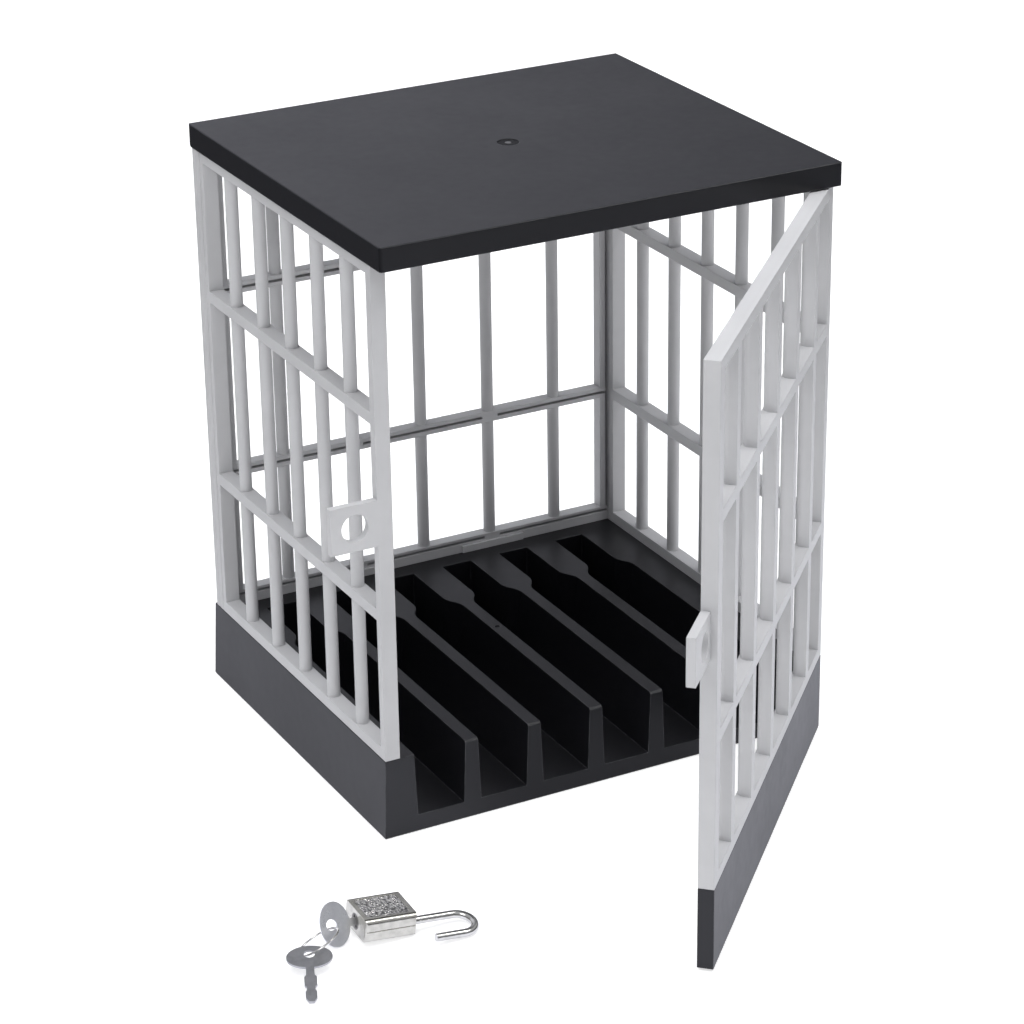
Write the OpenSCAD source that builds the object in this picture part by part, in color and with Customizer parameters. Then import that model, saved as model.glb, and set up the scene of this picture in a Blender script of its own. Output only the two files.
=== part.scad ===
// Phone lock cage: a comb base for phones under a barred cage, with a hasp door, a padlock and its keys.
// Millimetres. The origin is the middle of the base's underside, +X to the hinge side, +Y to the back, +Z up.

/* [Cage] */
// Width across the outer faces of the side panels
cage_w = 187.6; // [170:0.1:230]
// Depth of the base at its top
base_d = 158.9; // [140:0.1:200]
// Height of the base
base_h = 32.7; // [28:0.1:42]
// Height of the panels, from the base to the lid
panel_h = 196.4; // [160:0.1:260]

/* [Base] */
// How far each side of the base leans out at its foot
side_lean = 1; // [0:0.1:3]
// How far the back of the base leans out at its foot
back_lean = 1.9; // [0:0.1:4]
// Wall of the moulding's underside
base_wall = 2.4; // [1.6:0.1:3]
// Roof left over the deep pockets under the walls
core_roof = 6; // [5:0.1:9]
// Ribs across the underside
rib_count = 5; // [3:2:7]

/* [Phone slots] */
// Number of slots
slot_count = 6; // [4:1:7]
// Wall left of the first slot
slot_left = 11.9; // [10.5:0.1:20]
// Wall right of the last slot
slot_right = 19.6; // [10.5:0.1:26]
// Thickness of a divider at its top
divider_t = 5.3; // [3:0.1:7]
// Height of the slots' floor
slot_floor = 6.8; // [5:0.1:10]
// How much narrower a slot is on each side at its floor
slot_draft = 1.05; // [0.2:0.05:1.6]
// How much a slot narrows on each side towards the back
slot_step = 4.1; // [2:0.1:5]
// Length of the curved narrowing
slot_flare_l = 12.1; // [9:0.1:20]
// Length of the narrow end of a slot
slot_narrow_l = 26.7; // [15:0.1:40]
// Land behind the slots
slot_land = 15.75; // [12:0.05:25]
// Chamfer on the dividers' front top edge
divider_chamfer = 0.8; // [0.3:0.1:2]
// Diameter of the gate mark on the middle divider
gate_d = 2.2; // [1.2:0.1:2.8]
// Depth of the gate mark
gate_deep = 0.5; // [0.2:0.1:1]
// Gate mark behind the base's front
gate_in = 81.2; // [30:0.1:95]

/* [Lid] */
// Thickness of the lid at its rim
lid_t = 9.1; // [8:0.1:14]
// Overhang of the lid past each side panel
lid_side = 1.2; // [0.5:0.1:4]
// Overhang of the lid past the base's front
lid_front = 11.35; // [9.5:0.05:16]
// Thickness of the lid's top over its recess
lid_top = 3.2; // [2:0.1:5]
// Rounding of the lid's upper edges
lid_round = 0.5; // [0.3:0.1:1.5]
// Rounding of the lid's upright corners
lid_corner = 1.2; // [0.5:0.1:3]
// Chamfer along the lid's lower back edge
lid_chamfer = 1.6; // [0.5:0.1:2.5]
// Border of the lid's recess beside the panels
lid_border = 2.6; // [2:0.1:5]
// Thickness of the ribs in the lid's recess
lid_rib = 2; // [1.2:0.1:3]
// Diameter of the moulding mark in the lid's top
mark_d = 8.5; // [5:0.1:12]
// Diameter of the nub in the moulding mark
nub_d = 2.5; // [1.5:0.1:4]
// Depth of the moulding mark
mark_deep = 0.4; // [0.2:0.1:0.8]
// Height of the nub in the moulding mark
nub_h = 0.3; // [0.1:0.1:0.8]

/* [Panels] */
// Thickness of a side panel
panel_t = 6; // [5.4:0.1:8]
// Width of a side panel's front post
front_post = 3.6; // [3:0.1:8]
// Width of a side panel's back post
back_post = 6.8; // [4:0.1:9]
// Height of a rail
rail_h = 4.6; // [3.5:0.1:8]
// Middle of the lower cross rail above the base, and of the upper one below the lid
cross_h = 59.4; // [45:0.1:70]
// Diameter of a bar
bar_d = 5; // [3.5:0.1:5]
// Bars in each grille
bar_count = 5; // [3:1:7]
// Clear gap beside a side panel's first bar
side_gap_front = 19.35; // [12:0.05:24]
// Clear gap beside a side panel's last bar
side_gap_back = 17.35; // [12:0.05:24]
// Step from the base's back edge to the back panel
back_step = 1.9; // [0.5:0.1:4]
// Thickness of the back panel
back_t = 5.2; // [5.2:0.1:7]
// Thickness of the back panel's flange behind the side panels
back_flange = 2.9; // [2.5:0.1:4.5]
// Width of the back panel's frame at each side
back_frame = 9.8; // [9.2:0.1:14]
// Height of the back panel's lowest rail
back_foot = 6.3; // [5:0.1:10]
// Clear gap beside the back panel's end bars
back_gap = 18.94; // [12:0.02:24]
// Width of the back panel's grooves
groove_w = 1.1; // [0.6:0.1:1.4]
// Depth of the back panel's grooves
groove_deep = 2.4; // [1:0.1:2.8]
// Chamfer along the seams between the mouldings
seam_edge = 0.4; // [0.2:0.1:0.6]
// Width and depth of the line down a side panel's back post
line_w = 0.5; // [0.3:0.1:0.8]
// Line down the back post, from the back panel's outer face
line_in = 6.65; // [4.5:0.05:8]
// Width of a clip tab at the back panel's foot
tab_w = 29; // [18:0.5:32]
// Height of a clip tab
tab_h = 3; // [2:0.1:4]
// How far a clip tab stands out
tab_t = 0.8; // [0.4:0.1:1.5]

/* [Joints of the mouldings] */
// Length of a locating tongue
tongue_l = 26; // [15:0.5:32]
// Thickness of a locating tongue
tongue_t = 2.4; // [1.6:0.1:3]
// Height of a locating tongue
tongue_h = 3; // [2:0.1:4]
// Room around a tongue in its pocket
tongue_fit = 0.15; // [0.05:0.01:0.3]

/* [Door] */
// Opening angle of the door
door_open = 45.8; // [0:0.1:90]
// Thickness of the door
door_t = 5.9; // [5.4:0.1:8]
// Width of a door post
door_post = 6; // [5.4:0.1:9]
// Gap between the closed door and the cage
door_gap = 1.6; // [1.2:0.1:2.4]
// How far the door passes the cage at the hinge side
door_over_hinge = 0.4; // [0:0.1:1]
// How far the door passes the cage at the free side
door_over_free = 1; // [0:0.1:2]
// Gap under the door
door_foot_gap = 0.75; // [0.3:0.05:2]
// Gap between the door and the lid
door_top_gap = 0.6; // [0.3:0.1:2]
// Clear gap between the hinge post and the first bar
door_gap_hinge = 19.5; // [12:0.1:25]
// Clear gap between the last bar and the free post
door_gap_free = 20.2; // [12:0.1:25]
// Middle of the door's lower cross rail above the base, and of the upper one below the lid
door_cross_h = 57.4; // [45:0.1:70]

/* [Hinge] */
// Hinge axis from the door's hinge edge
hinge_in = 3; // [2.8:0.1:3.2]
// Hinge axis behind the door's outer face
hinge_back = 3.4; // [3.3:0.1:3.6]
// Diameter of a hinge pin
pin_d = 2; // [1.5:0.1:2.2]
// Radial room around a pin that turns in its hole
pin_run = 0.05; // [0.02:0.01:0.1]
// Length of the upper pin in the door
pin_in_door = 14.5; // [8:0.1:25]
// Length of the upper pin in the lid
pin_in_lid = 5.4; // [3:0.1:5.8]
// Length of the lower pin
low_pin_l = 21; // [16:0.5:24]
// Bottom of the lower pin
low_pin_z = 3; // [1:0.1:5]
// Width of the base's hinge lug
lug_w = 4.3; // [3.6:0.1:4.4]
// Height of the hinge lug
lug_h = 6; // [4:0.1:8]
// Bottom of the hinge lug
lug_z = 10; // [7:0.1:13]
// Room around the lug in the door's notch
lug_room = 0.3; // [0.2:0.05:0.4]

/* [Hasp] */
// Reach of the fixed ear past the side panel
ear_l = 18.7; // [16:0.1:24]
// Reach of the door's ear past the door's edge
door_ear_l = 21; // [16:0.1:24]
// Height of the ears
ear_h = 18.2; // [15:0.1:24]
// Thickness of the fixed ear
ear_t = 2.8; // [2:0.1:3.5]
// Thickness of the door's ear
door_ear_t = 3.4; // [2:0.1:4.5]
// Middle of the ears above the base
ear_z = 97.25; // [82:0.05:115]
// Diameter of the hasp holes
ear_hole_d = 10.8; // [6:0.1:12]
// Middle of the hasp holes from the side panel
ear_hole_out = 9; // [7.5:0.1:10]

/* [Padlock] */
// Length of the padlock's body, along its shackle
lock_l = 20; // [19:0.1:24]
// Width of the padlock's body
lock_w = 19; // [18.4:0.1:24]
// Thickness of the padlock's body
lock_h = 9; // [8.4:0.1:12]
// Rounding of the padlock's long edges
lock_round = 2; // [1:0.1:3]
// Rounding of the padlock's upright corners
lock_corner = 1.2; // [0.5:0.1:2]
// Groove along the seam of the two shells
seam_w = 0.3; // [0.1:0.05:0.5]
// Border of the hammered panel
panel_border = 1.8; // [1:0.1:3]
// Depth of the hammered panel
panel_deep = 0.2; // [0.1:0.05:0.4]

/* [Shackle] */
// Wire diameter of the shackle
shackle_d = 3; // [2.4:0.1:3.2]
// Distance between the shackle's legs
shackle_span = 12; // [11.4:0.1:12.6]
// Straight leg outside the body when shut
shackle_out = 7.9; // [5:0.1:14]
// How far the shackle springs out
shackle_pull = 7.1; // [5:0.1:7.6]
// Depth of the short leg in the body when shut
short_leg_in = 3.5; // [2.8:0.1:4]
// Depth of the long leg in the body when shut
long_leg_in = 14.9; // [14:0.1:16]
// Radial room around a leg in its bore
leg_run = 0.08; // [0.03:0.01:0.1]
// Depth of the latch notch in the short leg
notch_deep = 1; // [0.6:0.1:1.2]
// Length of the latch notch
notch_l = 1.4; // [1.2:0.1:1.8]
// Short leg left below the latch notch
notch_tip = 0.4; // [0.3:0.1:0.8]
// Depth of the clip groove in the long leg
clip_deep = 0.4; // [0.3:0.05:0.5]
// Width of the clip groove
clip_w = 0.8; // [0.6:0.05:1.2]
// Long leg left below the clip groove
clip_tip = 0.7; // [0.5:0.1:1.2]
// Outer diameter of the leg clip
clip_d = 4; // [3.6:0.1:4.2]
// Room around the leg in the clip
clip_room = 0.05; // [0.02:0.01:0.08]
// Room for the spring under the long leg when shut
spring_room = 1.5; // [0.5:0.1:2.5]

/* [Lock barrel] */
// Diameter of the plug
plug_d = 6; // [5.6:0.1:6.2]
// Length of the plug
plug_l = 16; // [15:0.1:16]
// Radial room around the plug
plug_run = 0.06; // [0.03:0.01:0.1]
// Distance of the drive pin from the plug's axis
drive_r = 2.3; // [2:0.05:2.4]
// Diameter of the drive pin
drive_d = 0.9; // [0.7:0.05:1]
// Thickness of the latch
latch_t = 1; // [0.8:0.05:1.1]
// Height of the latch
latch_h = 5.6; // [5.2:0.1:6]
// Room around the inner pieces
inner_room = 0.15; // [0.1:0.01:0.2]

/* [Keys] */
// Thickness of a key
key_t = 0.9; // [0.7:0.05:1.2]
// Length of a key's bow, along the blade
bow_l = 11.4; // [9:0.1:13]
// Width of a key's bow
bow_w = 16.4; // [12:0.1:18]
// Diameter of the hole in the bow
bow_hole_d = 4; // [3.6:0.1:5]
// Hole from the middle of the bow, away from the blade
bow_hole_off = 1.4; // [0.5:0.1:2]
// Length of the blade past the bow
blade_l = 17.6; // [15:0.1:18]
// Greatest width of the blade
blade_w = 4.5; // [3.6:0.1:4.6]
// Width of the blade's neck and waist
neck_w = 3; // [2.4:0.1:3.4]
// Room around the blade in the keyway
key_room = 0.1; // [0.05:0.01:0.15]
// Gap between the bow and the plug when the key is in
key_stand = 2.2; // [2.1:0.1:4]
// Middle diameter of the key ring
ring_d = 16.7; // [16:0.1:20]
// Wire diameter of the key ring
wire_d = 0.8; // [0.6:0.05:1]
// Room between the wire and the lower rim of the working key's hole
wire_seat = 0.4; // [0.3:0.05:0.8]

/* [Padlock on the table] */
// Middle of the padlock left of the cage
lock_aside = 31.6; // [25:0.1:60]
// Middle of the padlock ahead of the base's front
lock_ahead = 57.9; // [45:0.1:90]
// Turn of the padlock seen from above
lock_yaw = -2.5; // [-30:0.5:10]
// Turn of the key in the open padlock
key_turn = 58; // [40:1:66]
// Room left between a lying piece and the table
table_gap = 0.06; // [0.02:0.01:0.2]
// Direction in which the key ring leans
ring_az = 138; // [134:1:142]
// Place of the working key on the ring
ring_work = -110; // [-114:0.5:-106]
// Place of the spare key on the ring
ring_spare = 88; // [85:0.5:91]
// Direction of the spare key's blade
spare_yaw = -110.6; // [-114:0.1:-107]

/* [Hidden] */
$fn = 64;
// Overlap of a cut with the air around it
over = 1;

charcoal = [0.2, 0.2, 0.21];
light_grey = [0.73, 0.73, 0.74];
steel = [0.6, 0.6, 0.62];
nickel = [0.78, 0.78, 0.78];

// Cage
front_y = -base_d / 2;
back_y = base_d / 2;
side_x = cage_w / 2;
panel_in_x = side_x - panel_t;
panel_back_y = back_y - back_step - back_flange;
back_out_y = back_y - back_step;
back_in_y = back_out_y - back_t;
lid_z = base_h + panel_h;
// Clear width of the back panel, and the middle of its second bar from each side
back_clear = cage_w - 2 * back_frame;
back_bar_x = back_clear / 2 - back_gap - bar_d / 2 - (back_clear - 2 * back_gap - bar_d) / (bar_count - 1);

// Slots
slot_w = (cage_w - slot_left - slot_right - (slot_count - 1) * divider_t) / slot_count;
slot_pitch = slot_w + divider_t;
slot_end_y = back_y - slot_land;
flare_end_y = slot_end_y - slot_narrow_l;
flare_y = flare_end_y - slot_flare_l;
// Radius of the two equal arcs that make the narrowing
flare_r = (pow(slot_step, 2) + pow(slot_flare_l, 2)) / (4 * slot_step);
row_x = -side_x + slot_left;
row_w = cage_w - slot_left - slot_right;

// Door, drawn shut and then turned about the hinge axis
door_w = cage_w + door_over_hinge + door_over_free;
door_in_y = front_y - door_gap;
door_out_y = door_in_y - door_t;
door_free_x = -side_x - door_over_free;
door_hinge_x = side_x + door_over_hinge;
hinge_x = door_hinge_x - hinge_in;
hinge_y = door_out_y + hinge_back;
lug_r = lug_w / 2;
notch_r = lug_r + lug_room;
hasp_x = -side_x - ear_hole_out;
hasp_z = base_h + ear_z;

// Padlock, in its own frame: +X to the shackle, the keyway at -X, its lower face on z = 0
lock_x = -side_x - lock_aside;
lock_y = front_y - lock_ahead;
axis_z = lock_h / 2;
lock_end = lock_l / 2;
leg_r = shackle_d / 2;
long_end = lock_end - long_leg_in + shackle_pull;
bend_x = lock_end + shackle_out + shackle_pull;
short_end = lock_end - short_leg_in + shackle_pull;
clip_x = long_end + clip_tip + clip_w / 2;
clip_l = clip_w - 2 * clip_room;
clip_in_r = leg_r - clip_deep + clip_room;
chamber_r = clip_d / 2 + 2 * inner_room;
chamber_end = clip_x + clip_l / 2 + 2 * inner_room;
chamber_start = lock_end - long_leg_in - spring_room;
plug_end = -lock_end + plug_l;
// Middle of the notch in the short leg when the lock is shut
latch_x = lock_end - short_leg_in + notch_tip + notch_l / 2;
latch_shift = -drive_r * sin(key_turn);
latch_nose = shackle_span / 2 - leg_r + notch_deep - inner_room;
latch_tail = -drive_d - latch_t;

// The padlock leans on its key: the rim of the turned bow and the body's far edge touch the table
bow_x = -lock_end - key_stand - bow_l / 2;
bow_drop = bow_w / 2 * sin(key_turn);
bow_room = axis_z - key_t / 2 * cos(key_turn) - table_gap;
prop_l = lock_end - bow_x;
prop_sq = pow(prop_l, 2) - pow(bow_l / 2, 2);
prop_root = sqrt(pow(prop_l * bow_room, 2) + prop_sq * (pow(bow_drop, 2) - pow(bow_room, 2)));
lean = max(0, atan((prop_root - prop_l * bow_room) / prop_sq));
lift = lock_end * sin(lean);
// A point of the padlock's frame on the table
function on_slope(p) = [p[0] * cos(lean) + p[2] * sin(lean), p[1],
    lift - p[0] * sin(lean) + p[2] * cos(lean)];
// The open shackle turns down until its bend touches the table
bend_fall = (on_slope([bend_x, 0, axis_z])[2] - leg_r - table_gap) / (shackle_span / 2);
shackle_turn = 180 + asin((pow(bend_fall, 2) - pow(sin(lean), 2)) / (2 * bend_fall * cos(lean)));

// Keys
// The wire lies low in the turned working key's hole, and the ring's lowest point touches the table
wire_low = bow_hole_d / 2 - wire_d / 2 - wire_seat;
work_wire = on_slope([bow_x - bow_hole_off, -wire_low * cos(key_turn), axis_z - wire_low * sin(key_turn)]);
ring_r = ring_d / 2;
ring_tilt = asin((work_wire[2] - wire_d / 2 - table_gap) / (ring_r * (1 - cos(ring_work))));
ring_u = [cos(ring_az) * cos(ring_tilt), sin(ring_az) * cos(ring_tilt), -sin(ring_tilt)];
ring_v = [-sin(ring_az), cos(ring_az), 0];
function on_ring(a) = ring_r * (cos(a) * ring_u + sin(a) * ring_v);
ring_mid = work_wire - on_ring(ring_work);
spare_hole = ring_mid + on_ring(ring_spare);
// Flats round a key's bow, and shares of the blade's width at its second bit and its tip
bow_steps = 48;
second_bit = 0.9;
blade_tip = 0.4;
key_reach = bow_hole_off + bow_l / 2 + blade_l;
// The spare key's tip touches the table
spare_dip = asin((spare_hole[2] - key_t / 2 - table_gap) / key_reach);

// Evenly spaced middles from the first to the last
function row(first, last, count) = [for (i = [0:count - 1]) first + (last - first) * i / (count - 1)];

module rounded_rect(w, h, r) {
    square([w - 2 * r, h], center = true);
    square([w, h - 2 * r], center = true);
    for (x = [-1, 1], y = [-1, 1]) translate([x * (w / 2 - r), y * (h / 2 - r)]) circle(r);
}

// Rectangle whose two upper corners are rounded
module round_top(w, h, r) {
    translate([-w / 2, 0]) square([w, h - r]);
    translate([-w / 2 + r, 0]) square([w - 2 * r, h]);
    for (x = [-1, 1]) translate([x * (w / 2 - r), h - r]) circle(r);
}

// A profile in Y and Z, swept along +X, and one in X and Z, swept along +Y
module along_x(length) rotate([90, 0, 90]) linear_extrude(length) children();
module along_y(length) translate([0, length, 0]) rotate([90, 0, 0]) linear_extrude(length) children();

// Flat frame with cross rails and round bars, standing up in X and Y with its thickness along +Z.
// Bars with a flat face are square on the outer side of the frame.
module grille(w, h, t, post_a, post_b, foot, gap_a, gap_b, cross, flat_face = false) {
    mids = [foot - rail_h / 2, cross, panel_h - cross, h - rail_h / 2];
    first = post_a + gap_a + bar_d / 2;
    last = w - post_b - gap_b - bar_d / 2;
    bar_l = h - foot / 2 - rail_h / 2;
    linear_extrude(t) difference() {
        square([w, h]);
        for (i = [0:2]) translate([post_a, mids[i] + rail_h / 2])
            square([w - post_a - post_b, mids[i + 1] - mids[i] - rail_h]);
    }
    for (x = row(first, last, bar_count)) translate([x, foot / 2, t / 2]) {
        rotate([-90, 0, 0]) cylinder(d = bar_d, h = bar_l);
        if (flat_face) translate([-bar_d / 2, 0, 0]) cube([bar_d, bar_l, t / 2]);
    }
}

// Tongue that stands up from z = 0, centred, and the pocket that takes it
module tongue(room = 0) {
    size = [tongue_t + 2 * room, tongue_l + 2 * room, tongue_h + room];
    translate([-size[0] / 2, -size[1] / 2, 0]) cube(size);
}

// Places of the tongues that hold the panels, level with the base's top
module side_tongue_places(side) {
    for (y = [front_y + base_d / 4, back_y - base_d / 4])
        translate([side * (side_x - panel_t / 2), y, 0]) children();
}
module back_tongue_places() {
    for (x = [-1, 1]) translate([x * cage_w / 4, back_out_y - back_t / 2, 0]) rotate([0, 0, 90]) children();
}
module all_tongue_places() {
    for (side = [-1, 1]) side_tongue_places(side) children();
    back_tongue_places() children();
}

// Base

// Leaning block with a small chamfer where the panels stand
module base_form() {
    shoulder = base_h - seam_edge;
    intersection() {
        translate([0, front_y - over, 0]) along_y(base_d + back_lean + 2 * over)
            polygon([[-side_x - side_lean, 0], [side_x + side_lean, 0], [side_x, shoulder],
                [side_x - seam_edge, base_h], [-side_x + seam_edge, base_h], [-side_x, shoulder]]);
        translate([-side_x - side_lean - over, 0, 0]) along_x(cage_w + 2 * side_lean + 2 * over)
            polygon([[front_y, 0], [back_y + back_lean, 0], [back_y, shoulder], [back_y - seam_edge, base_h],
                [front_y, base_h]]);
    }
}

// Half of a slot's outline at +X, from the middle line
module slot_half() {
    wide = slot_w / 2;
    narrow = wide - slot_step;
    translate([0, front_y - over]) square([wide + over, flare_y - front_y + over]);
    intersection() {
        translate([0, flare_y]) square([wide, slot_flare_l / 2]);
        translate([wide - flare_r, flare_y]) circle(flare_r);
    }
    difference() {
        translate([0, flare_y + slot_flare_l / 2]) square([wide, slot_flare_l / 2]);
        translate([narrow + flare_r, flare_end_y]) circle(flare_r);
    }
    translate([0, flare_end_y]) square([narrow, slot_narrow_l]);
}

// One phone slot: its outline from above, cut to the draft of its walls
module slot() {
    depth = base_h - slot_floor;
    rise = depth + over;
    top = slot_w / 2 - slot_draft + slot_draft * rise / depth;
    intersection() {
        translate([0, 0, slot_floor]) linear_extrude(rise) {
            slot_half();
            mirror([1, 0]) slot_half();
        }
        translate([0, front_y - over, slot_floor]) along_y(slot_end_y - front_y + 2 * over)
            polygon([[-slot_w / 2 + slot_draft, 0], [slot_w / 2 - slot_draft, 0], [top, rise], [-top, rise]]);
    }
}

// Chamfer along the front of the dividers' tops, and the gate mark on the middle one
module divider_cut() {
    translate([row_x, front_y, base_h]) along_x(row_w)
        polygon([[-divider_chamfer, -2 * divider_chamfer], [2 * divider_chamfer, divider_chamfer],
            [-divider_chamfer, divider_chamfer]]);
    gate_x = row_x + floor(slot_count / 2) * slot_pitch - divider_t / 2;
    translate([gate_x, front_y + gate_in, base_h - gate_deep]) cylinder(d = gate_d, h = gate_deep + over);
}

// Hollow underside: a shallow recess with ribs, and deep pockets under the walls and the land
module underside() {
    inner_w = cage_w - 2 * base_wall;
    inner_d = base_d - 2 * base_wall;
    translate([0, 0, -over]) linear_extrude(slot_floor - base_wall + over) difference() {
        square([inner_w, inner_d], center = true);
        for (x = row(-cage_w / 3, cage_w / 3, rib_count))
            translate([x, 0]) square([base_wall, inner_d + over], center = true);
        square([inner_w + over, base_wall], center = true);
    }
    core_h = base_h - core_roof + over;
    wall_d = inner_d - slot_land + base_wall;
    translate([-side_x + base_wall, front_y + base_wall, -over])
        cube([slot_left - 2 * base_wall, wall_d, core_h]);
    translate([side_x - slot_right + base_wall, front_y + base_wall, -over])
        cube([slot_right - 2 * base_wall, wall_d, core_h]);
    translate([-side_x + base_wall, slot_end_y + base_wall, -over])
        cube([inner_w, slot_land - 2 * base_wall, core_h]);
}

module lug() {
    translate([hinge_x, hinge_y, lug_z]) linear_extrude(lug_h) {
        circle(lug_r);
        translate([-lug_r, 0]) square([lug_w, front_y - hinge_y + base_wall / 2]);
    }
}

module base() {
    color(charcoal) difference() {
        union() {
            base_form();
            lug();
        }
        for (i = [0:slot_count - 1]) translate([row_x + slot_w / 2 + i * slot_pitch, 0, 0]) slot();
        divider_cut();
        underside();
        translate([0, 0, base_h]) mirror([0, 0, 1]) all_tongue_places() tongue(tongue_fit);
        translate([hinge_x, hinge_y, lug_z - over]) cylinder(d = pin_d + 2 * pin_run, h = lug_h + 2 * over);
    }
}

// Panels

// V groove where the back panel's flange meets the right side panel
module corner_seam() {
    translate([side_x, panel_back_y, base_h - over]) rotate([0, 0, 45]) linear_extrude(panel_h + 2 * over)
        square(seam_edge * sqrt(2), center = true);
}

module side_panel(side) {
    panel_d = panel_back_y - front_y;
    mirror([side < 0 ? 1 : 0, 0, 0]) difference() {
        translate([panel_in_x, front_y, base_h]) rotate([90, 0, 90])
            grille(panel_d, panel_h, panel_t, front_post, back_post, rail_h, side_gap_front, side_gap_back,
                cross_h);
        corner_seam();
        translate([side_x - line_w, back_out_y - line_in - line_w / 2, base_h - over])
            cube([line_w + over, line_w, panel_h + 2 * over]);
    }
    translate([0, 0, base_h]) mirror([0, 0, 1]) side_tongue_places(side) tongue();
    translate([0, 0, lid_z]) side_tongue_places(side) tongue();
}

module left_panel() {
    color(light_grey) difference() {
        union() {
            side_panel(-1);
            translate([-side_x - ear_l, front_y, hasp_z - ear_h / 2])
                cube([ear_l + front_post / 2, ear_t, ear_h]);
        }
        translate([hasp_x, front_y - over, hasp_z]) rotate([-90, 0, 0])
            cylinder(d = ear_hole_d, h = ear_t + 2 * over);
    }
}

module right_panel() {
    color(light_grey) side_panel(1);
}

// Grooves in the inner face of the back panel, bridged at the second bar from each side
module back_grooves() {
    bridge = bar_d + 2 * groove_w;
    for (z = [back_foot - rail_h / 2 + groove_w / 2, cross_h, panel_h - cross_h]) difference() {
        translate([-panel_in_x, back_in_y - over, base_h + z - groove_w / 2])
            cube([2 * panel_in_x, groove_deep + over, groove_w]);
        for (x = [-back_bar_x, back_bar_x])
            translate([x - bridge / 2, back_in_y - 2 * over, base_h + z - groove_w])
                cube([bridge, groove_deep + 3 * over, 2 * groove_w]);
    }
}

// Lap for the right side panel, with a groove beside it
module back_lap() {
    translate([panel_in_x - tongue_fit, back_in_y - over, base_h - over])
        cube([panel_t + tongue_fit + over, panel_back_y - back_in_y + over, panel_h + 2 * over]);
    translate([panel_in_x - groove_w, back_in_y - over, base_h + back_foot])
        cube([groove_w, groove_deep + over, panel_h - back_foot - rail_h]);
}

module back_tabs() {
    for (x = [-back_bar_x, back_bar_x]) translate([x - tab_w / 2, back_in_y - tab_t, base_h])
        cube([tab_w, 2 * tab_t, tab_h]);
}

module back_panel() {
    color(light_grey) difference() {
        union() {
            translate([-side_x, back_out_y, base_h]) rotate([90, 0, 0])
                grille(cage_w, panel_h, back_t, back_frame, back_frame, back_foot, back_gap, back_gap,
                    cross_h);
            back_tabs();
            translate([0, 0, base_h]) mirror([0, 0, 1]) back_tongue_places() tongue();
            translate([0, 0, lid_z]) back_tongue_places() tongue();
        }
        for (side = [-1, 1]) mirror([side < 0 ? 1 : 0, 0, 0]) {
            back_lap();
            corner_seam();
        }
        back_grooves();
    }
}

// Lid

module lid_form() {
    lid_w = cage_w + 2 * lid_side;
    lid_d = back_out_y - front_y + lid_front;
    mid_y = back_out_y - lid_d / 2;
    intersection() {
        translate([0, mid_y - lid_d, lid_z]) along_y(2 * lid_d) round_top(lid_w, lid_t, lid_round);
        translate([-lid_w, mid_y, lid_z]) along_x(2 * lid_w) difference() {
            round_top(lid_d, lid_t, lid_round);
            translate([lid_d / 2, 0]) rotate(45) square(lid_chamfer * sqrt(2), center = true);
        }
        translate([0, mid_y, lid_z - over]) linear_extrude(lid_t + 2 * over)
            rounded_rect(lid_w, lid_d, lid_corner);
    }
}

// Recess of the lid's underside, with ribs across it
module lid_recess() {
    recess_w = 2 * (panel_in_x - lid_border);
    recess_d = back_in_y - lid_border - front_y - lid_border;
    translate([0, front_y + lid_border + recess_d / 2, lid_z - over]) linear_extrude(lid_t - lid_top + over)
        difference() {
            square([recess_w, recess_d], center = true);
            for (x = [-1, 1]) translate([x * recess_w / 6, 0])
                square([lid_rib, recess_d + over], center = true);
            square([recess_w + over, lid_rib], center = true);
        }
}

// Moulding mark: a round recess with a nub in its middle
module lid_mark() {
    mid_y = (back_out_y + front_y - lid_front) / 2;
    translate([0, mid_y, lid_z + lid_t - mark_deep]) difference() {
        cylinder(d = mark_d, h = mark_deep + over);
        cylinder(d = nub_d, h = nub_h);
    }
}

module lid() {
    color(charcoal) difference() {
        lid_form();
        lid_recess();
        lid_mark();
        translate([0, 0, lid_z]) all_tongue_places() tongue(tongue_fit);
        translate([hinge_x, hinge_y, lid_z - over])
            cylinder(d = pin_d + 2 * pin_run, h = pin_in_lid + tongue_fit + over);
    }
}

// Door

module on_door() {
    translate([hinge_x, hinge_y, 0]) rotate([0, 0, door_open]) translate([-hinge_x, -hinge_y, 0]) children();
}

// Tongues that stand down from the grille into the plinth
module door_tongue_places() {
    for (x = [door_free_x + door_w / 4, door_hinge_x - door_w / 4])
        translate([x, door_in_y - door_t / 2, base_h]) mirror([0, 0, 1]) rotate([0, 0, 90]) children();
}

module door_grille() {
    grille_h = panel_h - door_top_gap;
    color(light_grey) on_door() difference() {
        union() {
            translate([door_free_x, door_in_y, base_h]) rotate([90, 0, 0])
                grille(door_w, grille_h, door_t, door_post, door_post, rail_h, door_gap_free, door_gap_hinge,
                    door_cross_h, true);
            translate([door_free_x - door_ear_l, door_in_y - door_ear_t, hasp_z - ear_h / 2])
                cube([door_ear_l + door_post / 2, door_ear_t, ear_h]);
            door_tongue_places() tongue();
        }
        translate([hasp_x, door_in_y - door_ear_t - over, hasp_z]) rotate([-90, 0, 0])
            cylinder(d = ear_hole_d, h = door_ear_t + 2 * over);
        translate([hinge_x, hinge_y, base_h + grille_h - pin_in_door])
            cylinder(d = pin_d, h = pin_in_door + over);
    }
}

// Strip with a small chamfer along its top, under the grille
module plinth_form() {
    shoulder = base_h - seam_edge;
    translate([door_free_x, 0, 0]) along_x(door_w)
        polygon([[door_out_y, door_foot_gap], [door_in_y, door_foot_gap], [door_in_y, shoulder],
            [door_in_y - seam_edge, base_h], [door_out_y + seam_edge, base_h], [door_out_y, shoulder]]);
}

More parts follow.
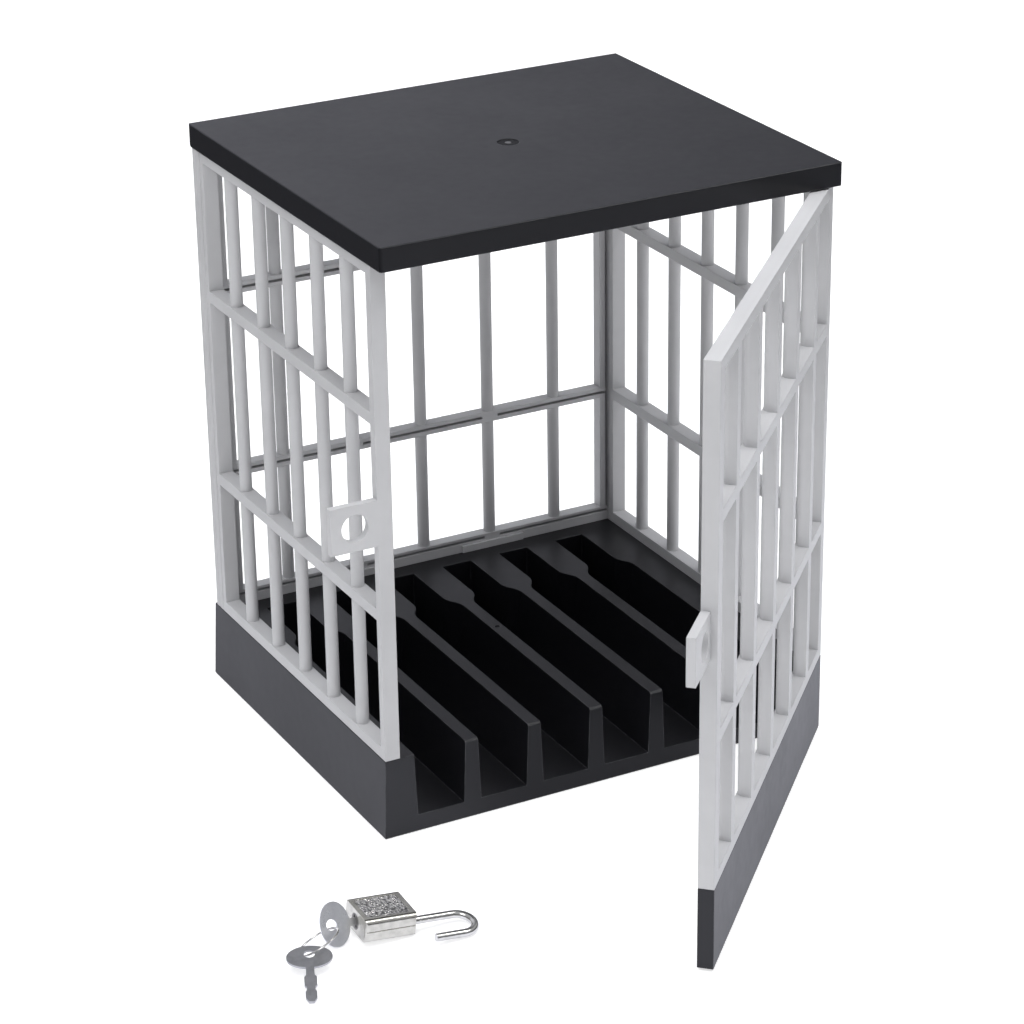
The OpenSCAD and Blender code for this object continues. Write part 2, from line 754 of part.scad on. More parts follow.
module door_plinth() {
    color(charcoal) on_door() difference() {
        plinth_form();
        door_tongue_places() tongue(tongue_fit);
        translate([hinge_x - notch_r, hinge_y - notch_r, lug_z - lug_room])
            cube([notch_r + hinge_in + over, notch_r + door_in_y - hinge_y + over, lug_h + 2 * lug_room]);
        translate([hinge_x, hinge_y, low_pin_z]) cylinder(d = pin_d, h = low_pin_l);
        translate([hinge_x, hinge_y, door_foot_gap - over])
            cylinder(d = pin_d, h = low_pin_z - door_foot_gap + over);
    }
}

module upper_hinge_pin() {
    color(steel) translate([hinge_x, hinge_y, lid_z - door_top_gap - pin_in_door])
        cylinder(d = pin_d, h = pin_in_door + door_top_gap + pin_in_lid);
}

module lower_hinge_pin() {
    color(steel) translate([hinge_x, hinge_y, low_pin_z]) cylinder(d = pin_d, h = low_pin_l);
}

// Padlock

module on_table() {
    translate([lock_x, lock_y, 0]) rotate([0, 0, lock_yaw]) children();
}
module on_lock() {
    on_table() translate([0, 0, lift]) rotate([0, lean, 0]) children();
}
module on_plug() {
    translate([0, 0, axis_z]) rotate([key_turn, 0, 0]) children();
}
module rod(from, to, d) {
    translate([from, 0, 0]) rotate([0, 90, 0]) cylinder(d = d, h = to - from);
}

module lock_form() {
    intersection() {
        translate([-lock_end - over, 0, 0]) along_x(lock_l + 2 * over) difference() {
            translate([0, axis_z]) rounded_rect(lock_w, lock_h, lock_round);
            for (y = [-1, 1]) translate([y * lock_w / 2, axis_z]) rotate(45) square(seam_w, center = true);
        }
        translate([0, 0, -over]) linear_extrude(lock_h + 2 * over) rounded_rect(lock_l, lock_w, lock_corner);
    }
}

// Bores for the legs, the plug, the clip and the latch
module lock_bores() {
    leg_bore = shackle_d + 2 * leg_run;
    translate([0, -shackle_span / 2, axis_z]) {
        rod(chamber_end - over, lock_end + over, leg_bore);
        rod(chamber_start, chamber_end, 2 * chamber_r);
    }
    translate([0, shackle_span / 2, axis_z])
        rod(lock_end - short_leg_in - 2 * inner_room, lock_end + over, leg_bore);
    translate([0, 0, axis_z]) rod(-lock_end - over, plug_end + inner_room, plug_d + 2 * plug_run);
    drive_bore = 2 * drive_r + drive_d + 2 * inner_room;
    translate([0, 0, axis_z]) rod(plug_end, latch_x + latch_t / 2 + inner_room, drive_bore);
    translate([latch_x - latch_t / 2 - inner_room, latch_tail + latch_shift - inner_room,
        axis_z - latch_h / 2 - inner_room])
        cube([latch_t + 2 * inner_room, shackle_span / 2 - latch_tail - latch_shift,
            latch_h + 2 * inner_room]);
}

module lock_half(upper) {
    on_lock() difference() {
        intersection() {
            lock_form();
            translate([-lock_l, -lock_w, upper ? axis_z : axis_z - lock_h])
                cube([2 * lock_l, 2 * lock_w, lock_h]);
        }
        lock_bores();
        if (upper) translate([0, 0, lock_h - panel_deep]) linear_extrude(panel_deep + over)
            rounded_rect(lock_l - 2 * panel_border, lock_w - 2 * lock_round - panel_border, lock_corner);
    }
}

module lock_shell_upper() {
    color(nickel) lock_half(true);
}

module lock_shell_lower() {
    color(nickel) lock_half(false);
}

// The long leg lies along X from the origin's axis, the short leg at +Y
module shackle_form() {
    difference() {
        union() {
            rod(long_end, bend_x, shackle_d);
            translate([0, shackle_span, 0]) rod(short_end, bend_x, shackle_d);
            translate([bend_x, shackle_span / 2, 0]) rotate([0, 0, -90]) rotate_extrude(angle = 180)
                translate([shackle_span / 2, 0]) circle(d = shackle_d);
        }
        translate([long_end + clip_tip, 0, 0]) rotate([0, 90, 0]) difference() {
            cylinder(d = 2 * shackle_d, h = clip_w);
            translate([0, 0, -over]) cylinder(d = shackle_d - 2 * clip_deep, h = clip_w + 2 * over);
        }
        translate([short_end + notch_tip, shackle_span - shackle_d, -shackle_d])
            cube([notch_l, shackle_d / 2 + notch_deep, 2 * shackle_d]);
    }
}

module shackle() {
    color(nickel) on_lock() translate([0, -shackle_span / 2, axis_z]) rotate([shackle_turn, 0, 0])
        shackle_form();
}

module leg_clip() {
    color(steel) on_lock() translate([clip_x - clip_l / 2, -shackle_span / 2, axis_z]) rotate([0, 90, 0])
        difference() {
            cylinder(d = clip_d, h = clip_l);
            translate([0, 0, -over]) cylinder(r = clip_in_r, h = clip_l + 2 * over);
        }
}

// Plug with its keyway and the eccentric pin that drives the latch
module plug() {
    slot_t = key_t + 2 * key_room;
    slot_h = blade_w + 2 * key_room;
    color(steel) on_lock() on_plug() {
        difference() {
            rod(-lock_end, plug_end, plug_d);
            translate([-lock_end - over, -slot_h / 2, -slot_t / 2]) cube([plug_l + 2 * over, slot_h, slot_t]);
        }
        translate([0, 0, drive_r]) rod(plug_end - over, latch_x + latch_t / 2, drive_d);
    }
}

// Latch bar, drawn back by the drive pin, with a slot that the pin slides in
module latch() {
    drive_slot = drive_d + 3 * inner_room;
    color(steel) on_lock() translate([latch_x - latch_t / 2, latch_shift, axis_z]) difference() {
        translate([0, latch_tail, -latch_h / 2]) cube([latch_t, latch_nose - latch_tail, latch_h]);
        translate([-over, -drive_slot / 2, drive_r * cos(key_turn) - drive_d])
            cube([latch_t + 2 * over, drive_slot, latch_h]);
    }
}

// Keys

// Outline of a key in one loop: round the oval bow, out along one edge of the blade and back along the other
module key_outline() {
    half = blade_w / 2;
    half_neck = neck_w / 2;
    second = half * second_bit;
    // Stations along the blade and the half width there: neck, first bit, waist, second bit, tip
    edge = [[0.22, half_neck], [0.28, half], [0.52, half], [0.57, half_neck], [0.66, half_neck],
        [0.71, second], [0.88, second], [1, half * blade_tip]];
    root = asin(neck_w / bow_w);
    start = bow_l / 2 * cos(root);
    length = bow_l / 2 + blade_l - start;
    difference() {
        polygon(concat(
            [for (i = [0:bow_steps]) let (a = root + (360 - 2 * root) * i / bow_steps)
                [bow_l / 2 * cos(a), bow_w / 2 * sin(a)]],
            [for (p = edge) [start + p[0] * length, -p[1]]],
            [for (i = [len(edge) - 1:-1:0]) [start + edge[i][0] * length, edge[i][1]]]));
        translate([-bow_hole_off, 0]) circle(d = bow_hole_d);
    }
}

// Key with the middle of its bow at the origin and its blade along +X
module key() {
    translate([0, 0, -key_t / 2]) linear_extrude(key_t) key_outline();
}

module working_key() {
    color(nickel) on_lock() on_plug() translate([bow_x, 0, 0]) key();
}

module spare_key() {
    color(nickel) on_table() translate(spare_hole) rotate([0, spare_dip, spare_yaw])
        translate([bow_hole_off, 0, 0]) key();
}

module key_ring() {
    color(nickel) on_table() translate(ring_mid) rotate([0, ring_tilt, ring_az])
        rotate_extrude() translate([ring_r, 0]) circle(d = wire_d);
}

base();
left_panel();
right_panel();
back_panel();
lid();
door_grille();
door_plinth();
upper_hinge_pin();
lower_hinge_pin();
lock_shell_upper();
lock_shell_lower();
leg_clip();
shackle();
plug();
latch();
working_key();
key_ring();
spare_key();
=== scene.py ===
# %% [markdown]
# # Phone lock cage
# A small cage in which phones are locked away for an evening. A charcoal comb base holds the phones on end, light
# grey barred walls and a barred door close them in, and a padlock goes through the two ears of the hasp.
# The CAD model already holds the true shapes and the joints. This lesson loads it as a fixed frame, gives every
# piece its finish, adds the hammered plate of the padlock, and sets up a camera and a small studio around it.

# %% Load the frame
import math

import bpy
from mathutils import Matrix, Vector, noise


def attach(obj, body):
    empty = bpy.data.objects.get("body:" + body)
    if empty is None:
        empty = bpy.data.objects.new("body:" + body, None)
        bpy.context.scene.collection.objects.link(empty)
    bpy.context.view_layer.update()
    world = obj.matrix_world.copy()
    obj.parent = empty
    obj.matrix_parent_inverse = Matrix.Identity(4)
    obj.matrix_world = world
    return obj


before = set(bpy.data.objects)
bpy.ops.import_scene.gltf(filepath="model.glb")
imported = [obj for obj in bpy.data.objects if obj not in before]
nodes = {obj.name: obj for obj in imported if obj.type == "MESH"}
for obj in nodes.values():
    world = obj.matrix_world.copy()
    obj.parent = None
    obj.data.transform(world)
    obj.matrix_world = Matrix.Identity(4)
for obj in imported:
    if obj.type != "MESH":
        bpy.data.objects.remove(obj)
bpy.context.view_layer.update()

# %% [markdown]
# ## The camera
# The picture was taken from the front left and a little above, with a long lens, so that upright edges stay almost
# parallel. A camera can be placed by eye, but here its place, turn and focal length were fitted to the corners of
# the lid and the base, so the render and the picture lie on each other. The focal length was found in pixels of a
# square picture, and a sensor width turns it into millimetres.

# %% Camera
PICTURE_PX = 1024
SENSOR_MM = 36
FOCAL_PX = 3273.5
CAMERA_PLACE = (-0.55248, -1.05368, 0.61147)
CAMERA_TURN_DEG = (66.0497, 0.7798, -28.1354)

lens = bpy.data.cameras.new("picture_camera")
lens.sensor_fit = "HORIZONTAL"
lens.sensor_width = SENSOR_MM
lens.lens = FOCAL_PX * SENSOR_MM / PICTURE_PX
camera = bpy.data.objects.new("picture_camera", lens)
camera.location = CAMERA_PLACE
camera.rotation_euler = [math.radians(angle) for angle in CAMERA_TURN_DEG]
bpy.context.collection.objects.link(camera)
bpy.context.scene.camera = camera
print("lens", round(lens.lens, 1), "mm")

# %% [markdown]
# ## Sums with sockets
# A finish is a small calculation that Blender repeats at every point of the surface. In the node editor it is drawn
# with boxes and lines, which gets hard to follow for long sums. The class below wraps one socket, so that a sum is
# written as in Python, and each operator adds its Math node. One method makes every other kind of node.

# %% Wire
class Wire:
    """One socket of a node tree, for use in Python sums."""

    def __init__(self, tree, socket=None):
        self.tree = tree
        self.socket = socket

    def node(self, kind, settings=None, inputs=None, out=0):
        """Adds a node: its settings first, then its sockets' values or links. Gives one of its outputs."""
        made = self.tree.nodes.new(kind)
        for name, value in (settings or {}).items():
            setattr(made, name, value)
        for name, value in (inputs or {}).items():
            if isinstance(value, Wire):
                self.tree.links.new(value.socket, made.inputs[name])
            else:
                made.inputs[name].default_value = value
        return Wire(self.tree, made.outputs[out]) if made.outputs else None

    def also(self, out):
        """Another output of the same node."""
        return Wire(self.tree, self.socket.node.outputs[out])

    def math(self, operation, *values):
        return self.node("ShaderNodeMath", {"operation": operation}, dict(enumerate(values)))

    def __add__(self, other):
        return self.math("ADD", self, other)

    def __sub__(self, other):
        return self.math("SUBTRACT", self, other)

    def __rsub__(self, other):
        return self.math("SUBTRACT", other, self)

    def __mul__(self, other):
        return self.math("MULTIPLY", self, other)

    def __truediv__(self, other):
        return self.math("DIVIDE", self, other)

    def __rtruediv__(self, other):
        return self.math("DIVIDE", other, self)

    __radd__ = __add__
    __rmul__ = __mul__


print("a Wire takes", ", ".join("+-*/"), "with numbers and with other wires")

# %% [markdown]
# ## Small helpers
# A few helpers stand on that class: a new finish, a soft step from 0 to 1, a blend of two colours, noise of a given
# grain, coordinates that are stretched along an axis, and the distance from a point. The coordinates of a CAD piece
# are its own, in metres, so a pattern sits still on a piece when the piece moves.

# %% Helpers for finishes
MM = 0.001


def new_finish(name):
    """An empty material, and a Wire to start its nodes from."""
    material = bpy.data.materials.new(name)
    material.use_nodes = True
    material.node_tree.nodes.clear()
    return material, Wire(material.node_tree)


def step(value, low, high):
    """0 below low, 1 above high, with a soft way between them."""
    return value.node(
        "ShaderNodeMapRange",
        {"interpolation_type": "SMOOTHSTEP"},
        {"Value": value, "From Min": low, "From Max": high},
    )


def blend_colour(amount, first, second):
    """The first colour where amount is 0, the second where it is 1."""
    inputs = {0: amount, 6: first, 7: second}
    return amount.node("ShaderNodeMix", {"data_type": "RGBA"}, inputs, out=2)


def grain(place, size_mm, detail=2.0, rough=0.5):
    """Noise from 0 to 1 whose lumps are about this size."""
    inputs = {"Vector": place, "Scale": 1 / (size_mm * MM), "Detail": detail, "Roughness": rough}
    return place.node("ShaderNodeTexNoise", None, inputs)


def stretched(place, scale):
    """The coordinates scaled by a factor for each axis."""
    return place.node("ShaderNodeVectorMath", {"operation": "MULTIPLY"}, {0: place, 1: scale})


def distance_from(place, point):
    """Distance of the shaded point from a fixed one."""
    return place.node("ShaderNodeVectorMath", {"operation": "DISTANCE"}, {0: place, 1: point}, out="Value")


print("helpers ready")

# %% [markdown]
# ## Soft edges
# No moulded or stamped edge is perfectly sharp. A tenth of a millimetre of rounding catches a line of light, and an
# edge without it looks like a drawing. A Bevel modifier would change the CAD shape, so the rounding is done in the
# shading: the Bevel node gives the normal that a rounded edge would have. Where that normal leaves the true one
# there is an edge, and this difference also tells where the plastic edges are painted paler: partly for rubbing by
# hands and boxes, and partly as a painted highlight.

# %% Edge helper
BEVEL_RAYS = 6
EDGE_TURN = (0.005, 0.12)


def soft_edge(wire, radius_mm):
    """The rounded normal, and a mask that is 1 on the edges."""
    rounded = wire.node("ShaderNodeBevel", {"samples": BEVEL_RAYS}, {"Radius": radius_mm * MM})
    true = wire.node("ShaderNodeNewGeometry", out="Normal")
    along = wire.node("ShaderNodeVectorMath", {"operation": "DOT_PRODUCT"}, {0: rounded, 1: true}, out="Value")
    return rounded, step(1 - along, *EDGE_TURN)


print("edge helper ready")

# %% [markdown]
# ## Moulded plastic
# The base, the lid, the door's plinth and all the grilles are injection moulded. The lid shows where its melt came
# in: the stub was cut off there, in a dull dish. The glint on the stub is a painted highlight, a pale spot in its
# colour. The dish is part of the CAD shape, and the finish only has to know where it is. Both are round, so the
# distance from one point is enough for that.

# %% Gate stub
GATE_STUB = (0, -0.00662, 0.238)
STUB_EDGE_MM = (1.0, 1.5)
DISH_EDGE_MM = (4.0, 4.4)
# painted highlight: the pale colour of the stub stands in for the glint on it
STUB_PAINTED_HIGHLIGHT = (0.085, 0.085, 0.090, 1)


def round_stub(place, edge_mm):
    """1 near the lid's gate stub, 0 beyond the edge."""
    inner, outer = edge_mm
    return 1 - step(distance_from(place, GATE_STUB), inner * MM, outer * MM)


print("gate stub in a dish of", 2 * DISH_EDGE_MM[1], "mm")

# %% [markdown]
# The steel of the mould is spark eroded, so the plastic comes out with a fine, dull grain instead of a mirror. Slow
# flow of the melt leaves patches that are a little duller or paler. The edges are painted paler, partly where they
# have been rubbed and partly as a painted highlight along them. One recipe serves both colours: a base colour that
# wanders by a few per cent, a roughness that wanders too, and a bump of two sizes.

# %% Plastic recipe
PATCH_MM = 38
RUB_AND_HIGHLIGHT_MM = 7
MOTTLE_MM = 4.5
PIT_MM = 0.42
PALER = 1.13


def moulded_plastic(name, colour, worn_and_highlight, roughness, grain_height, edge_mm):
    """A dull moulded plastic with flow patches, spark-eroded grain, and edges that are rubbed and have a painted
    highlight.
    """
    material, wire = new_finish(name)
    place = wire.node("ShaderNodeTexCoord", out="Object")
    patches = grain(place, PATCH_MM, detail=3.0)
    mottle = grain(place, MOTTLE_MM, detail=2.0)
    pits = grain(place, PIT_MM, detail=1.5)
    rounded, edge = soft_edge(wire, edge_mm)
    # the edge mask picks where the edges are painted paler: partly rubbed wear, partly a painted highlight
    rubbed_and_highlit = edge * step(grain(place, RUB_AND_HIGHLIGHT_MM, detail=4.0), 0.35, 0.75)

    paler = tuple(PALER * channel for channel in colour[:3]) + (1,)
    body = blend_colour(step(patches, 0.3, 0.7) * 0.6 + mottle * 0.4, colour, paler)
    stub = round_stub(place, STUB_EDGE_MM)
    dish = round_stub(place, DISH_EDGE_MM)
    # painted highlights: the pale stub stands in for its glint, and the paler edges are partly wear, partly a highlight
    tint = blend_colour(stub, blend_colour(rubbed_and_highlit, body, worn_and_highlight), STUB_PAINTED_HIGHLIGHT)
    dullness = roughness + (patches - 0.5) * 0.10 + (mottle - 0.5) * 0.06 - rubbed_and_highlit * 0.08 + (dish - stub) * 0.35

    height = pits * 0.8 + mottle * 0.5
    relief = wire.node(
        "ShaderNodeBump",
        None,
        {"Strength": 1.0, "Distance": grain_height * MM, "Height": height, "Normal": rounded},
    )
    skin = wire.node(
        "ShaderNodeBsdfPrincipled",
        None,
        {"Base Color": tint, "Roughness": dullness, "IOR": 1.5, "Normal": relief},
    )
    wire.node("ShaderNodeOutputMaterial", None, {"Surface": skin})
    return material


print("plastic recipe ready")

# %% [markdown]
# The two plastics differ in colour and a little in gloss. The charcoal one is so dark that it shows mostly what it
# mirrors, and its paler edges stand out: rubbed, with a painted highlight on them. The light grey one hides its wear,
# so its edges only get a shade paler, which is mostly a painted highlight.

# %% Plastics
charcoal = moulded_plastic(
    "moulded_charcoal",
    colour=(0.0055, 0.0055, 0.0072, 1),
    # edge colour: partly rubbed wear, partly a painted highlight
    worn_and_highlight=(0.085, 0.085, 0.092, 1),
    roughness=0.36,
    grain_height=0.012,
    edge_mm=0.5,
)
light_grey = moulded_plastic(
    "moulded_light_grey",
    # edge colour: partly rubbed wear, partly a painted highlight
    colour=(0.484, 0.484, 0.493, 1),
    worn_and_highlight=(0.69, 0.69, 0.70, 1),
    roughness=0.42,
    grain_height=0.010,
    edge_mm=0.35,
)
print("mixed", charcoal.name, "and", light_grey.name)

# %% [markdown]
# ## Plated and drawn metal
# Six metals are on this object, and most of them are much alike in colour. What tells them apart is the direction and
# the depth of the marks: polish leaves almost none, drawing leaves lines along the wire, and a stamped sheet keeps the
# fine lines of the rolling mill. Noise that is stretched along one axis makes such lines, and the same noise moves the
# roughness a little. Clouds of tarnish lie over it.

# %% Metal recipe
CLOUD_MM = 3.2


def plated_metal(name, colour, tarnish, roughness, lines, line_mm, height_mm, edge_mm):
    """A plated metal. Its marks run along the axis where lines, a factor for each axis, is small."""
    material, wire = new_finish(name)
    place = wire.node("ShaderNodeTexCoord", out="Object")
    marks = grain(stretched(place, lines), line_mm, detail=3.0, rough=0.6)
    clouds = grain(place, CLOUD_MM, detail=3.0)
    rounded, edge = soft_edge(wire, edge_mm)

    tint = blend_colour(step(clouds, 0.35, 0.8) * 0.7, colour, tarnish)
    dullness = roughness + (marks - 0.5) * 0.14 + (clouds - 0.5) * 0.10 - edge * 0.05
    relief = wire.node(
        "ShaderNodeBump",
        None,
        {"Strength": 1.0, "Distance": height_mm * MM, "Height": marks + clouds * 0.6, "Normal": rounded},
    )
    skin = wire.node(
        "ShaderNodeBsdfPrincipled",
        None,
        {"Base Color": tint, "Metallic": 1.0, "Roughness": dullness, "Normal": relief},
    )
    wire.node("ShaderNodeOutputMaterial", None, {"Surface": skin})
    return material


print("metal recipe ready")

# %% [markdown]
# The padlock's body is plated with nickel, which is a little yellow, over cast metal that isn't quite smooth. Its
# shackle is polished bar, and the ring is of the same bright wire. The plug is turned steel in a bore, and its colour
# is much darker than steel: painted shade for the bore round it. All their marks run along the padlock, which lies
# almost along the X axis.

# %% Metals of the padlock
ALONG_X = (0.2, 1, 1)

lock_nickel = plated_metal(
    "plated_nickel",
    colour=(0.69, 0.675, 0.61, 1),
    tarnish=(0.50, 0.49, 0.44, 1),
    roughness=0.24,
    lines=ALONG_X,
    line_mm=0.5,
    height_mm=0.012,
    edge_mm=0.2,
)
bright_bar = plated_metal(
    "bright_bar",
    colour=(0.76, 0.75, 0.72, 1),
    tarnish=(0.58, 0.57, 0.54, 1),
    roughness=0.14,
    lines=ALONG_X,
    line_mm=0.6,
    height_mm=0.004,
    edge_mm=0.1,
)
# painted shade: the plug's dark colour stands in for the shade of its bore
plug_painted_shade = plated_metal(
    "plug_painted_shade",
    colour=(0.22, 0.21, 0.20, 1),
    tarnish=(0.14, 0.14, 0.13, 1),
    roughness=0.34,
    lines=ALONG_X,
    line_mm=0.3,
    height_mm=0.005,
    edge_mm=0.1,
)
print("mixed", lock_nickel.name, "and", bright_bar.name, "and", plug_painted_shade.name)

# %% [markdown]
# Both keys are stamped from the same plated sheet. The one in the lock is painted brighter and the spare one darker,
# a painted highlight and a painted shade for how each lies in the light; the spare one is also a little rougher. The
# hinge pins are drawn wire, with their lines along the Z axis. They are hardly seen, but a part that is taken apart
# still has to look right.

# %% Metals of the keys and the hinge
ALONG_Y = (1, 0.1, 1)
ALONG_Z = (1, 1, 0.1)

# the key in the lock is painted brighter than the spare, as a painted highlight
key_sheet = plated_metal(
    "key_sheet",
    colour=(0.92, 0.92, 0.93, 1),
    tarnish=(0.77, 0.77, 0.79, 1),
    roughness=0.30,
    lines=ALONG_Y,
    line_mm=0.3,
    height_mm=0.004,
    edge_mm=0.12,
)
# the spare key is painted darker, as painted shade; it is also a little rougher
painted_shade_key = plated_metal(
    "dull_key_sheet",
    colour=(0.52, 0.52, 0.53, 1),
    tarnish=(0.37, 0.37, 0.38, 1),
    roughness=0.36,
    lines=ALONG_Y,
    line_mm=0.3,
    height_mm=0.006,
    edge_mm=0.12,
)
pin_wire = plated_metal(
    "pin_wire",
    colour=(0.52, 0.52, 0.53, 1),
    tarnish=(0.40, 0.40, 0.41, 1),
    roughness=0.32,
    lines=ALONG_Z,
    line_mm=0.2,
    height_mm=0.004,
    edge_mm=0.1,
)
print("mixed", key_sheet.name, "and", painted_shade_key.name, "and", pin_wire.name)

# %% [markdown]
# ## Painting the frame
# The CAD pieces keep their shapes and only change their finish. Each object has one material slot from the file, and
# the new material goes into it.

# %% Paint the pieces
FINISHES = {
    charcoal: ("base", "lid", "door_plinth"),
    light_grey: ("left_panel", "right_panel", "back_panel", "door_grille"),
    lock_nickel: ("lock_shell_upper", "lock_shell_lower", "latch", "leg_clip"),
    plug_painted_shade: ("plug",),
    bright_bar: ("shackle", "key_ring"),
    key_sheet: ("working_key",),
    painted_shade_key: ("spare_key",),
    pin_wire: ("upper_hinge_pin", "lower_hinge_pin"),
}

painted = 0
for finish, names in FINISHES.items():
    for name in names:
        for holder in nodes[name].material_slots:
            holder.material = finish
        painted += 1
print("painted", painted, "of", len(nodes), "pieces")

# %% [markdown]
# ## The hammered plate
# The top of the padlock is a shallow panel with a hammered face that hides scratches and sparkles. A bump map would
# only shade it, but the light on the real one comes from true facets, so the plate is a mesh with its dents in it.
# A Voronoi pattern gives every blow of the hammer its own spot, and each spot gets a facet with a tilt of its own.

# %% Dents
PLATE_SIZE = (0.0162, 0.0130)
PLATE_CORNER = 0.0011
PLATE_FLOOR = 0.00881
PLATE_LOW = 0.00884
PLATE_DEEP = 0.00015
DENT = 0.0011
DENT_SPREAD = 37.0
DENT_LEVEL = 0.45
DENT_TILT = 1.30
RIDGE_AWAY = 0.62
RIDGE_HIGH = 0.25


def dent_height(x, y):
    """Height of the hammered face from 0 to 1: each blow leaves a facet of its own tilt inside a low ridge."""
    spot = Vector((x / DENT, y / DENT, 0.0))
    near, blows = noise.voronoi(spot)
    away = spot - blows[0]
    tilt = noise.cell_vector(blows[0] * DENT_SPREAD) * 2 - Vector((1, 1, 1))
    ridge = min(1.0, near[0] / RIDGE_AWAY)
    height = DENT_LEVEL + DENT_TILT * (tilt.x * away.x + tilt.y * away.y) + RIDGE_HIGH * ridge * ridge
    return min(1.0, max(0.0, height))


print("dents", round(DENT / MM, 2), "mm apart and", round(PLATE_DEEP / MM, 2), "mm deep")

# %% [markdown]
# The mesh is a fine grid whose rows follow the rounded outline of the panel. Walls round its rim and one large face
# below close it, so that it is a solid that lies in the panel's recess, a little below the frame round it.

# %% Plate mesh
PLATE_STEPS = (150, 120)


def plate_half_width(y):
    """Half of the plate's length at this place across it, less in the rounded corners."""
    into = abs(y) - (PLATE_SIZE[1] / 2 - PLATE_CORNER)
    if into <= 0:
        return PLATE_SIZE[0] / 2
    return PLATE_SIZE[0] / 2 - PLATE_CORNER + math.sqrt(max(0.0, PLATE_CORNER**2 - into**2))


def hammered_plate():
    """The closed mesh of the plate, in the padlock's own frame."""
    columns, rows = PLATE_STEPS
    wide = columns + 1
    points, faces = [], []
    for j in range(rows + 1):
        y = PLATE_SIZE[1] * (j / rows - 0.5)
        half = plate_half_width(y)
        for i in range(wide):
            x = half * (2 * i / columns - 1)
            points.append((x, y, PLATE_LOW + PLATE_DEEP * dent_height(x, y)))
    for j in range(rows):
        for i in range(columns):
            a = j * wide + i
            faces.append((a, a + 1, a + wide + 1, a + wide))
    rim = list(range(wide)) + [j * wide + columns for j in range(1, rows + 1)]
    rim += [rows * wide + i for i in range(columns - 1, -1, -1)] + [j * wide for j in range(rows - 1, 0, -1)]
    under = len(points)
    points += [(points[a][0], points[a][1], PLATE_FLOOR) for a in rim]
    for k, (a, b) in enumerate(zip(rim, rim[1:] + rim[:1])):
        faces.append((b, a, under + k, under + (k + 1) % len(rim)))
    faces.append(tuple(under + k for k in reversed(range(len(rim)))))
    mesh = bpy.data.meshes.new("hammered_plate")
    mesh.from_pydata(points, [], faces)
    mesh.update()
    return mesh


plate = bpy.data.objects.new("hammered_plate", hammered_plate())
bpy.context.collection.objects.link(plate)
print("plate of", len(plate.data.polygons), "faces")

# %% [markdown]
# The crests get a painted highlight and the dents a painted shade, which give the plate the bright glints and dark
# hollows it shows. The height of a point in the mesh tells which of the two it is, so the paint follows the shape.

# %% Hammered finish
CREST_FROM = PLATE_LOW + 0.34 * PLATE_DEEP
CREST_FULL = PLATE_LOW + 0.58 * PLATE_DEEP
# painted highlight on the crests and painted shade in the dents
CREST_PAINTED_HIGHLIGHT = (0.99, 0.97, 0.94, 1)
DENT_PAINTED_SHADE = (0.32, 0.32, 0.31, 1)
FILM_MM = 0.5


def hammered_finish():
    """Painted highlight on the crests and painted shade in the dents, with a patchy grain over both."""
    material, wire = new_finish("hammered_nickel")
    place = wire.node("ShaderNodeTexCoord", out="Object")
    high = wire.node("ShaderNodeSeparateXYZ", None, {0: place}, out="Z")
    crest = step(high, CREST_FROM, CREST_FULL)
    film = step(grain(place, FILM_MM, detail=3.0), 0.35, 0.7)
    # painted light and shade: the crests are painted near white and the dents dark grey
    tint = blend_colour(crest * 0.85 + film * 0.15, DENT_PAINTED_SHADE, CREST_PAINTED_HIGHLIGHT)
    dullness = 0.34 - 0.22 * crest + 0.06 * film
    skin = wire.node(
        "ShaderNodeBsdfPrincipled", None, {"Base Color": tint, "Metallic": 1.0, "Roughness": dullness}
    )
    wire.node("ShaderNodeOutputMaterial", None, {"Surface": skin})
    return material


plate.data.materials.append(hammered_finish())
print("mixed", plate.data.materials[0].name)

# %% [markdown]
# The padlock lies beside the cage, turned a little, and leans on its turned key. The plate was made in the padlock's
# own frame, so the same place, turn and lean bring it home, and then it rides on the padlock's body when that moves.

# %% Place the plate
LOCK_PLACE = (-0.1254, -0.13735, 0.00098993)
LOCK_YAW_DEG = -2.5
LOCK_LEAN_DEG = 5.6812

turn = Matrix.Rotation(math.radians(LOCK_YAW_DEG), 4, "Z") @ Matrix.Rotation(math.radians(LOCK_LEAN_DEG), 4, "Y")
plate.matrix_world = Matrix.Translation(LOCK_PLACE) @ turn
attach(plate, "lock_body")
print("plate at", [round(value / MM, 1) for value in plate.matrix_world.translation], "mm")

# %% [markdown]
# ## The floor
# The cage stands on a pale table, as small goods are photographed, and the table is so bright that it comes out almost
# white. A matt sheet alone would show the grey of its lamps, so a little glow is added to it. Reflections don't see
# this floor: what the dark plastic mirrors is set by two cards in the next steps.

# %% Floor
FLOOR_HALF = 12.0
FLOOR_DROP = 0.0004
FLOOR_PAINT = (0.72, 0.72, 0.72, 1)
FLOOR_GLOW = 0.60


def flat_square(name, half, z):
    """A square sheet that faces up."""
    mesh = bpy.data.meshes.new(name)
    mesh.from_pydata([(-half, -half, z), (half, -half, z), (half, half, z), (-half, half, z)], [], [(0, 1, 2, 3)])
    sheet = bpy.data.objects.new(name, mesh)
    bpy.context.collection.objects.link(sheet)
    return sheet


